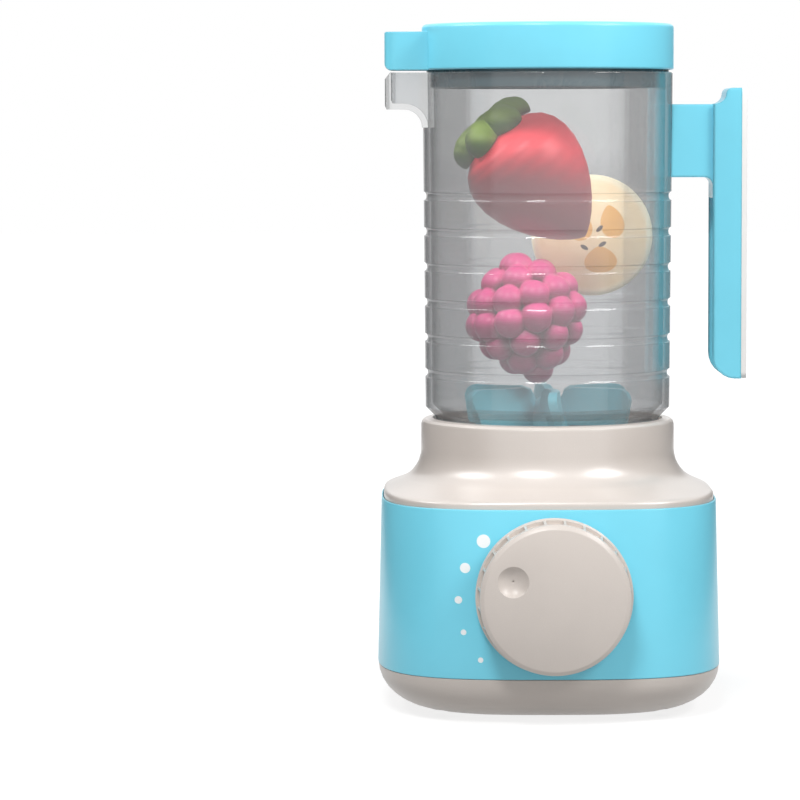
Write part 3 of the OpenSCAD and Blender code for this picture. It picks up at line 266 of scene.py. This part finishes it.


# Clear jug: its wall is thin, so what stands behind it is seen straight through. It has a smoke tint that is
# deeper on the far wall and on edges, a thin haze, a painted teal reflection of the grip on the wall beside
# it, and flow lines.
jug = {
    "nearTint": ((0.955, 0.957, 0.96), (0.97, 0.972, 0.972)), "edgeTint": (0.56, 0.565, 0.57),
    "farTintLow": (0.81, 0.815, 0.82), "farTintHigh": (0.89, 0.895, 0.895), "spoutTint": (0.90, 0.91, 0.92),
    "lampTint": (0.98, 0.98, 0.98), "edgeFrom": 0.55, "edgeTo": 0.80,
    "spoutFrom": -0.0482, "spoutTo": -0.0500,  # across from the axis
    "highFrom": 0.195, "highTo": 0.215,  # heights between which the wall clears
    "hazeLow": 0.20, "hazeHigh": 0.11, "hazeColor": (0.50, 0.51, 0.515),
    # Painted reflection of the grip: its colour and haze, and between which distances across and heights it
    # lies
    "paintedReflectionColor": (0.16, 0.52, 0.62), "paintedReflectionHaze": 0.16,
    "paintedReflectionAcross": (0.0385, 0.0425, 0.0462, 0.0472), "paintedReflectionUp": (0.118, 0.135),
    "shine": 0.8, "shineMost": 0.4, "shineIor": 1.5, "roughness": (0.05, 0.12),
    "flowScale": 14, "flowHeight": 0.00004, "scratchScale": 700}


def clearJug():
    t = Tree("clearPlastic")
    path = t.add("ShaderNodeLightPath").outputs
    x, y, z = t.axes()
    across = t.math("SUBTRACT", x, ax)
    flow = t.noise(jug["flowScale"], 3, 0.5, stretch=(1, 1, 0.35))
    scratches = t.noise(jug["scratchScale"], 2, 0.5, stretch=(1, 1, 0.08), seed=5.0)
    byLamp = t.most(path["Is Shadow Ray"], path["Is Diffuse Ray"])
    bySight = t.math("SUBTRACT", 1.0, byLamp)
    far = t.math("GREATER_THAN", path["Transparent Depth"], 1.5)

    facing = t.add("ShaderNodeLayerWeight").outputs["Facing"]
    near = t.mix(t.ramp(flow, 0.35, 0.65), *jug["nearTint"])
    near = t.mix(t.ramp(facing, jug["edgeFrom"], jug["edgeTo"]), near, jug["edgeTint"])
    deep = t.mix(t.ramp(z, jug["highFrom"], jug["highTo"]), jug["farTintLow"], jug["farTintHigh"])
    deep = t.mix(t.ramp(across, jug["spoutTo"], jug["spoutFrom"], 1, 0), deep, jug["spoutTint"])
    tint = t.mix(byLamp, t.mix(far, near, deep), jug["lampTint"])
    clear = t.shader("BsdfTransparent", Color=tint)

    gloss = t.shader("BsdfGlossy", Roughness=t.ramp(scratches, 0.5, 0.75, *jug["roughness"]),
                     Normal=t.bump(flow, jug["flowHeight"]))
    mirror = t.math("MULTIPLY", t.shader("Fresnel", IOR=jug["shineIor"]), jug["shine"])
    shiny = t.blend(t.math("MULTIPLY", bySight, t.math("MINIMUM", mirror, jug["shineMost"])), clear, gloss)

    # Painted reflection of the grip: a teal haze on the wall beside it
    a, b, c, d = jug["paintedReflectionAcross"]
    paintedGripReflection = t.math("MULTIPLY", t.math("MULTIPLY", t.ramp(across, a, b), t.ramp(across, c, d, 1, 0)),
                  t.ramp(z, *jug["paintedReflectionUp"]))
    haze = t.math("ADD", t.ramp(z, jug["highFrom"], jug["highTo"], jug["hazeLow"], jug["hazeHigh"]),
                  t.math("MULTIPLY", paintedGripReflection, jug["paintedReflectionHaze"]))
    haze = t.math("MULTIPLY", t.math("MULTIPLY", haze, bySight),
                  t.math("SUBTRACT", 1.0, t.math("MULTIPLY", far, 0.5)))
    milk = t.shader("BsdfDiffuse", Color=t.mix(paintedGripReflection, jug["hazeColor"], jug["paintedReflectionColor"]))
    t.show(t.blend(haze, shiny, milk))
    return t.owner


# Banana slice: middle across from the axis and up in metres; the rest in mm from that middle.
# A drop is a point, the way it grows, its length and width. A seed is a point and a turn.
banana = {
    "middle": (0.0178, 0.1797), "radius": 23.5,
    "cream": ((0.93, 0.74, 0.44), (0.97, 0.80, 0.50)),
    "rim": (0.95, 0.86, 0.62), "rimFrom": 0.84, "rimTo": 0.97,
    "drops": ((6.2, 11.8, -78, 13, 10), (2.7, -4.1, -85, 10.4, 13.8), (-3.9, 8.9, -100, 11, 11)),
    "dropColor": (0.84, 0.45, 0.10), "dropWider": 1.08,
    "seeds": ((2.8, 2.6, 45), (-3.1, -4.6, -30), (3.9, -3.4, 30)), "seedHalf": (1.7, 0.8),
    "seedColor": (0.07, 0.03, 0.02),
    # glow is painted light: emission rising between these heights in mm, from the first strength at the
    # bottom to the second at the top
    "glow": (-18.0, 16.0, 0.06, 1.1), "ior": 1.46, "grainHeight": 0.000003}


def bananaCream():
    t = Tree("bananaCream")
    x, _, z = t.axes()
    u = t.math("MULTIPLY", t.math("SUBTRACT", x, banana["middle"][0] + ax), 1 / mm)
    v = t.math("MULTIPLY", t.math("SUBTRACT", z, banana["middle"][1]), 1 / mm)

    # Distances along and across a line from a point in the given direction
    def along(px, pz, angle):
        c, s = math.cos(math.radians(angle)), math.sin(math.radians(angle))
        a, b = t.math("SUBTRACT", u, px), t.math("SUBTRACT", v, pz)
        return (t.math("ADD", t.math("MULTIPLY", a, c), t.math("MULTIPLY", b, s)),
                t.math("SUBTRACT", t.math("MULTIPLY", b, c), t.math("MULTIPLY", a, s)))

    cloud = t.noise(120, 4, 0.6)
    tone = t.mix(t.ramp(cloud, 0.35, 0.65), *banana["cream"])
    rim = t.ramp(t.length(u, v), banana["radius"] * banana["rimFrom"], banana["radius"] * banana["rimTo"])
    tone = t.mix(rim, tone, banana["rim"])
    for px, pz, angle, length, width in banana["drops"]:
        ahead, aside = along(px, pz, angle)
        k = t.math("DIVIDE", ahead, length)
        inside = t.math("MULTIPLY", t.math("GREATER_THAN", k, 0.0), t.math("LESS_THAN", k, 1.0))
        # half width at the share k of the length: k to the 0.75 times 1 - k to the 0.5
        wide = t.math("MULTIPLY", t.math("POWER", t.math("MAXIMUM", k, 0.0), 0.75),
                      t.math("POWER", t.math("MAXIMUM", t.math("SUBTRACT", 1.0, k), 0.0), 0.5))
        edge = t.math("SUBTRACT", t.math("ABSOLUTE", aside),
                      t.math("MULTIPLY", wide, width * banana["dropWider"]))
        tone = t.mix(t.math("MULTIPLY", inside, t.ramp(edge, -0.3, 0.2, 1, 0)), tone, banana["dropColor"])
    for px, pz, angle in banana["seeds"]:
        parts = [t.math("POWER", t.math("DIVIDE", t.math("ABSOLUTE", s), half), 2.0)
                 for s, half in zip(along(px, pz, angle), banana["seedHalf"])]
        tone = t.mix(t.ramp(t.math("ADD", *parts), 0.8, 1.1, 1, 0), tone, banana["seedColor"])
    fine = t.noise(moulding["grainScale"], 2, 0.5, seed=moulding["grainSeed"])
    # Emission rising towards the slice's top is a painted glow for light from above
    t.show(t.shader(
        "BsdfPrincipled", Base_Color=tone, Roughness=t.ramp(cloud, 0.3, 0.7, 0.42, 0.52), IOR=banana["ior"],
        Normal=t.bump(fine, banana["grainHeight"]), Emission_Color=tone,
        Emission_Strength=t.ramp(v, *banana["glow"])))
    return t.owner


# What the soft play food shares: its index, how far its roughness spreads and its grain height in metres
playFood = {"ior": 1.46, "spread": 0.04, "grainHeight": 0.0000004}


# Play food with painted light: the tone goes from a painted shade colour on what faces down to a painted lit
# colour on what faces up,
# and emission on what faces up is a painted glow. With painted gap shade, what lies between its beads is
# painted dark as shade:
# the tone goes from the gap's to its own between two distances from the gaps' middle.
def food(name, paintedLitTop, paintedShadedUnder, glow, rough=0.4, paintedGapShade=None):
    t = Tree(name)
    facing = t.add("ShaderNodeSeparateXYZ")
    t.put(facing.inputs[0], t.add("ShaderNodeNewGeometry").outputs["Normal"])
    up = facing.outputs[2]
    cloud = t.noise(90, 3, 0.5)
    # Painted shade and light: the shaded colour on what faces down, the lit colour on what faces up
    tone = t.mix(t.ramp(up, -0.25, 0.45), paintedShadedUnder, paintedLitTop)
    tone = t.mix(t.ramp(cloud, 0.35, 0.7, 0.0, 0.18), tone, paintedShadedUnder)
    if paintedGapShade:
        # Painted shade: dark between the beads, by distance from the gaps' middle
        away = t.add("ShaderNodeVectorMath", operation="DISTANCE")
        t.put(away.inputs[0], t.place)
        t.put(away.inputs[1], paintedGapShade["middle"])
        tone = t.mix(t.ramp(away.outputs["Value"], *paintedGapShade["distance"]), paintedGapShade["color"], tone)
    fine = t.noise(moulding["grainScale"], 2, 0.5, seed=moulding["grainSeed"])
    # Emission on what faces up is a painted glow
    t.show(t.shader(
        "BsdfPrincipled", Base_Color=tone, IOR=playFood["ior"],
        Roughness=t.ramp(cloud, 0.3, 0.7, rough - playFood["spread"], rough + playFood["spread"]),
        Normal=t.bump(fine, playFood["grainHeight"]),
        Emission_Color=tone, Emission_Strength=t.ramp(up, 0.0, 0.7, 0.0, glow)))
    return t.owner


berryMiddle = (-0.0083 + ax, -0.012 + ay, 0.1492)
# Painted shade between the raspberry's beads: dark near the berry's middle, fading out between these two
# distances
paintedBeadShade = {"middle": berryMiddle, "distance": (0.0178, 0.0215), "color": (0.20, 0.006, 0.05)}
looks |= {
    "shell": markedHousing(),
    "clear": clearJug(),
    "cream": bananaCream(),
    # Painted light on the play food: a lit colour for the top, a shaded colour for the underside and a glow
    # on the top
    "red": food("berryRed", (0.90, 0.06, 0.085), (0.34, 0.035, 0.05), glow=0.50),
    "green": food("leafGreen", (0.29, 0.41, 0.075), (0.08, 0.14, 0.03), glow=0.25, rough=0.45),
    "pink": food("raspberryPink", (0.86, 0.075, 0.30), (0.40, 0.02, 0.12), glow=0.26, rough=0.36,
                 paintedGapShade=paintedBeadShade)}
print("housing, jug and play food")


# Shades round forms smooth and keeps edges sharper than the limit crisp; the mesh itself isn't changed
def smoothing(limit):
    group = bpy.data.node_groups.new("smoothForms", "GeometryNodeTree")
    group.interface.new_socket("Geometry", in_out="INPUT", socket_type="NodeSocketGeometry")
    group.interface.new_socket("Geometry", in_out="OUTPUT", socket_type="NodeSocketGeometry")
    new, link = group.nodes.new, group.links.new
    source, result = new("NodeGroupInput"), new("NodeGroupOutput")
    merge, angle = new("GeometryNodeMergeByDistance"), new("GeometryNodeInputMeshEdgeAngle")
    merge.inputs["Distance"].default_value = 1e-6
    test = new("FunctionNodeCompare")
    test.operation = "LESS_EQUAL"
    test.inputs[1].default_value = math.radians(limit)
    faces, edges = new("GeometryNodeSetShadeSmooth"), new("GeometryNodeSetShadeSmooth")
    faces.domain, edges.domain = "FACE", "EDGE"
    link(source.outputs[0], merge.inputs["Geometry"])
    link(merge.outputs[0], faces.inputs["Geometry"])
    link(faces.outputs[0], edges.inputs["Geometry"])
    link(angle.outputs["Unsigned Angle"], test.inputs[0])
    link(test.outputs[0], edges.inputs["Shade Smooth"])
    link(edges.outputs[0], result.inputs[0])
    return group


def dress(obj, look):
    obj.data.materials.clear()
    obj.data.materials.append(look)


# Pieces whose finish differs a little from others in their slot; the strip's paler pearl is painted light
ownLook = {"housing_shell": "shell", "handle_strip": "strip", "collar": "collar", "dial": "dial",
           "handle_grip": "grip"}
slots = {part["node"]: part["material_slot"] for part in frame["record"]["subparts"]}
smoothForms = smoothing(28)
for name, obj in frame["nodes"].items():
    dress(obj, looks[ownLook.get(name, slots[name])])
    obj.modifiers.new("smooth", "NODES").node_group = smoothForms
print("nodes dressed")


# Skin round a set of balls: from the middle, each ray ends on the furthest ball that it meets, or else on
# the core. On a ray of direction d, a ball of centre c and radius r ends at
# d.c + root(r squared - c.c + d.c squared). With rest, no point lies lower than rest gives for its distance
# to the axis.
def ballSkin(name, core, balls, radius, around, up, rest=None):
    turn = np.arange(around) * 2 * math.pi / around
    rise = np.arange(1, up) * math.pi / up
    rays = np.stack([np.outer(np.sin(rise), np.cos(turn)), np.outer(np.sin(rise), np.sin(turn)),
                     np.repeat(-np.cos(rise)[:, None], around, 1)], -1).reshape(-1, 3)
    rays = np.vstack([[0, 0, -1], rays, [0, 0, 1]])
    ahead = rays @ balls.T
    inside = np.array(radius, float) ** 2 - (balls ** 2).sum(1) + ahead ** 2
    reach = np.where((inside > 0) & (ahead > 0), ahead + np.sqrt(np.maximum(inside, 0)), 0).max(1)
    points = rays * np.maximum(core, reach)[:, None]
    if rest:
        points[:, 2] = np.maximum(points[:, 2], rest(np.hypot(points[:, 0], points[:, 1])))

    here = np.arange(around)
    beside = (here + 1) % around
    rows = 1 + np.arange(up - 2)[:, None] * around
    last = 1 + (up - 2) * around
    above = rows + around
    bands = np.stack([rows + here, above + here, above + beside, rows + beside], -1).reshape(-1, 4)
    foot = np.stack([np.zeros(around, int), 1 + here, 1 + beside], -1)
    head = np.stack([np.full(around, last + around), last + beside, last + here], -1)
    mesh = bpy.data.meshes.new(name)
    mesh.from_pydata(points.tolist(), [], foot.tolist() + bands.tolist() + head.tolist())
    mesh.shade_smooth()
    obj = bpy.data.objects.new(name, mesh)
    bpy.context.scene.collection.objects.link(obj)
    return obj


# Leans a form about the Y axis, moves it to its place and bakes both into the mesh
def setDown(obj, lean, place):
    obj.data.transform(Matrix.Translation(place) @ Matrix.Rotation(math.radians(lean), 4, "Y"))


# Raspberry, in mm: rings of beads from the tip up, each with its height, radius and number of beads
berry = {
    "core": 16.6, "bead": 6.1, "lean": -12, "twist": 17, "around": 300, "up": 150,
    "rings": ((-19.8, 0, 1), (-14.6, 8.2, 5), (-7.6, 14.2, 8), (0.4, 17.7, 11), (8.2, 15.6, 10),
              (14.6, 9.6, 6), (19.0, 2.6, 2))}


# Beads at equal turns on a ring, and each ring turned a little from the one below
def beadRing(k, height, radius, count):
    turn = np.radians(np.arange(count) * 360 / count + k * berry["twist"])
    return np.stack([radius * np.cos(turn), radius * np.sin(turn), np.full(count, height)], -1)


beads = np.vstack([beadRing(k, *ring) for k, ring in enumerate(berry["rings"])]) * mm
raspberry = ballSkin("raspberryBeads", berry["core"] * mm, beads, berry["bead"] * mm,
                     berry["around"], berry["up"])
setDown(raspberry, berry["lean"], berryMiddle)
dress(raspberry, looks["pink"])
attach(raspberry, "raspberry_piece")
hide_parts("raspberry")
print("raspberry")

# Crown of leaves, in mm: fingers by their direction round the berry's axis and reach. Each is a run of balls
# from the middle out that drapes over the berry, which has its own length, radius, lean and tip.
crown = {
    "length": 52, "radius": 22.8, "lean": -41.5, "tip": (0.0139 + ax, -0.012 + ay, 0.180),
    "core": 6.5, "above": 0.4, "seat": 2.5, "lift": 1.8, "around": 240, "up": 110,
    "fingers": ((15, 11.5), (75, 12.0), (135, 12.0), (190, 12.2), (242, 12.4), (300, 12.2)),
    "first": 0.35, "step": 0.1625, "sizes": (6.2, 6.6, 6.9, 6.9, 6.2)}


# Height of the crown's underside: a little above the berry, whose top falls with a power of the distance
def crownRest(r):
    fall = crown["length"] * (r / mm / (2.012 * crown["radius"])) ** 2.78
    return (crown["above"] - crown["seat"] - fall) * mm


turns, reaches = np.array(crown["fingers"]).T
turns = np.radians(np.repeat(turns, len(crown["sizes"])))
shares = crown["first"] + crown["step"] * np.arange(len(crown["sizes"]))
out = np.outer(reaches, shares).ravel() * mm
lobes = np.stack([out * np.cos(turns), out * np.sin(turns), crownRest(out) + crown["lift"] * mm], -1)
lobeSizes = np.tile(crown["sizes"], len(crown["fingers"])) * mm
leaves = ballSkin("strawberryCrown", crown["core"] * mm, lobes, lobeSizes,
                  crown["around"], crown["up"], crownRest)
setDown(leaves, 0, (0, 0, (crown["length"] + crown["seat"]) * mm))
setDown(leaves, crown["lean"], crown["tip"])
dress(leaves, looks["green"])
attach(leaves, "strawberry_piece")
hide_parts("strawberry_leaves")
print("strawberry leaves")


def quad(name, corners, look):
    mesh = bpy.data.meshes.new(name)
    mesh.from_pydata(corners, [], [(0, 1, 2, 3)])
    obj = bpy.data.objects.new(name, mesh)
    bpy.context.scene.collection.objects.link(obj)
    mesh.materials.append(look)
    return obj


# Pale floor and room: near the object the floor shows its shadow, and further out it fades into the backdrop.
# What is seen, also in reflections, is white; what only lights the object is dimmer.
ground = {
    "half": 6, "gray": ((0.30, 0.30, 0.30), (0.22, 0.22, 0.22)), "grayFrom": 0.1, "grayTo": 0.6,
    "white": (1, 1, 1), "grain": (0.995, 0.995, 0.995),
    "shownFrom": 0.09, "shownTo": 0.40, "shown": 0.80, "glow": 0.18,
    "roomColor": (0.97, 0.98, 1.0), "room": 0.42}


def fadingFloor():
    t = Tree("paleFloor")
    path = t.add("ShaderNodeLightPath").outputs
    x, y, _ = t.axes()
    gone = t.length(x, y)
    seen = t.most(path["Is Camera Ray"], path["Is Glossy Ray"], path["Is Transmission Ray"])
    shown = t.ramp(gone, ground["shownFrom"], ground["shownTo"], ground["shown"], 1.0)
    extra = t.math("SUBTRACT", shown, ground["glow"])
    strength = t.math("ADD", ground["glow"], t.math("MULTIPLY", seen, extra))
    grain = t.ramp(t.noise(300, 3, 0.5), 0.3, 0.7)
    gray = t.mix(t.ramp(gone, ground["grayFrom"], ground["grayTo"]), *ground["gray"])
    white = t.mix(grain, ground["grain"], ground["white"])
    both = t.add("ShaderNodeAddShader")
    t.put(both.inputs[0], t.shader("BsdfDiffuse", Color=gray))
    t.put(both.inputs[1], t.shader("Emission", Color=white, Strength=strength))
    t.show(both.outputs[0])
    return t.owner


def paleRoom():
    t = Tree("paleRoom", world=True)
    path = t.add("ShaderNodeLightPath").outputs
    seen = t.most(path["Is Camera Ray"], path["Is Transmission Ray"], path["Is Glossy Ray"])
    room = t.shader("Background", Color=ground["roomColor"], Strength=ground["room"])
    t.show(t.blend(seen, room, t.shader("Background", Color=ground["white"], Strength=1.0)))
    return t.owner


half = ground["half"]
floor = quad("floor", [(-half, -half, 0), (half, -half, 0), (half, half, 0), (-half, half, 0)], fadingFloor())
bpy.context.scene.world = paleRoom()

# Lamps: place and size in metres, power in watts; all aim at the object's middle
lamps = {
    "keyLeft": {"place": (-1.25, 0.0, 1.15), "size": (0.8, 0.8), "power": 14},
    "keyRight": {"place": (1.05, -0.62, 1.15), "size": (0.7, 0.7), "power": 16},
    "front": {"place": (-0.35, -1.25, 1.6), "size": (0.5, 0.35), "power": 18}}
middle = (ax, ay, 0.13)
for name, lamp in lamps.items():
    data = bpy.data.lights.new(name, "AREA")
    data.shape = "RECTANGLE"
    data.size, data.size_y = lamp["size"]
    data.energy = lamp["power"]
    obj = bpy.data.objects.new(name, data)
    bpy.context.scene.collection.objects.link(obj)
    obj.location = lamp["place"]
    away = np.array(lamp["place"], float) - np.array(middle, float)
    obj.rotation_euler = Vector(away).to_track_quat("Z", "Y").to_euler()

# Dark cards beside and behind the object, out of the camera's sight, that darken the turned-away sides
cards = {"across": 0.42, "front": -0.3, "back": 1.3, "low": 0.02, "high": 0.42, "gray": (0.18, 0.18, 0.18),
         "roughness": 0.9}
cardTree = Tree("darkCard")
cardTree.show(cardTree.shader("BsdfPrincipled", Base_Color=cards["gray"], Roughness=cards["roughness"]))
near, back, low, high = cards["front"], cards["back"], cards["low"], cards["high"]
for x in (-cards["across"], cards["across"]):
    card = quad("card", [(x, near, low), (x, back, low), (x, back, high), (x, near, high)], cardTree.owner)
    card.visible_camera = False

# Camera: lens and sensor in mm, place in metres from the jug's axis, down, roll and turn in degrees
view = {"lens": 166.5, "sensor": 36, "place": (-0.057 + ax, -1.4245 + ay, 0.2237),
        "down": 4.297, "roll": 0.13, "turn": -0.015}
camData = bpy.data.cameras.new("camera")
camData.lens = view["lens"]
camData.sensor_width = view["sensor"]
cam = bpy.data.objects.new("camera", camData)
bpy.context.scene.collection.objects.link(cam)
cam.location = view["place"]
cam.rotation_mode = "XYZ"
cam.rotation_euler = (math.radians(90 - view["down"]), math.radians(view["roll"]), math.radians(view["turn"]))
bpy.context.scene.camera = cam
bpy.context.scene.view_settings.view_transform = "Standard"
print("stage set")
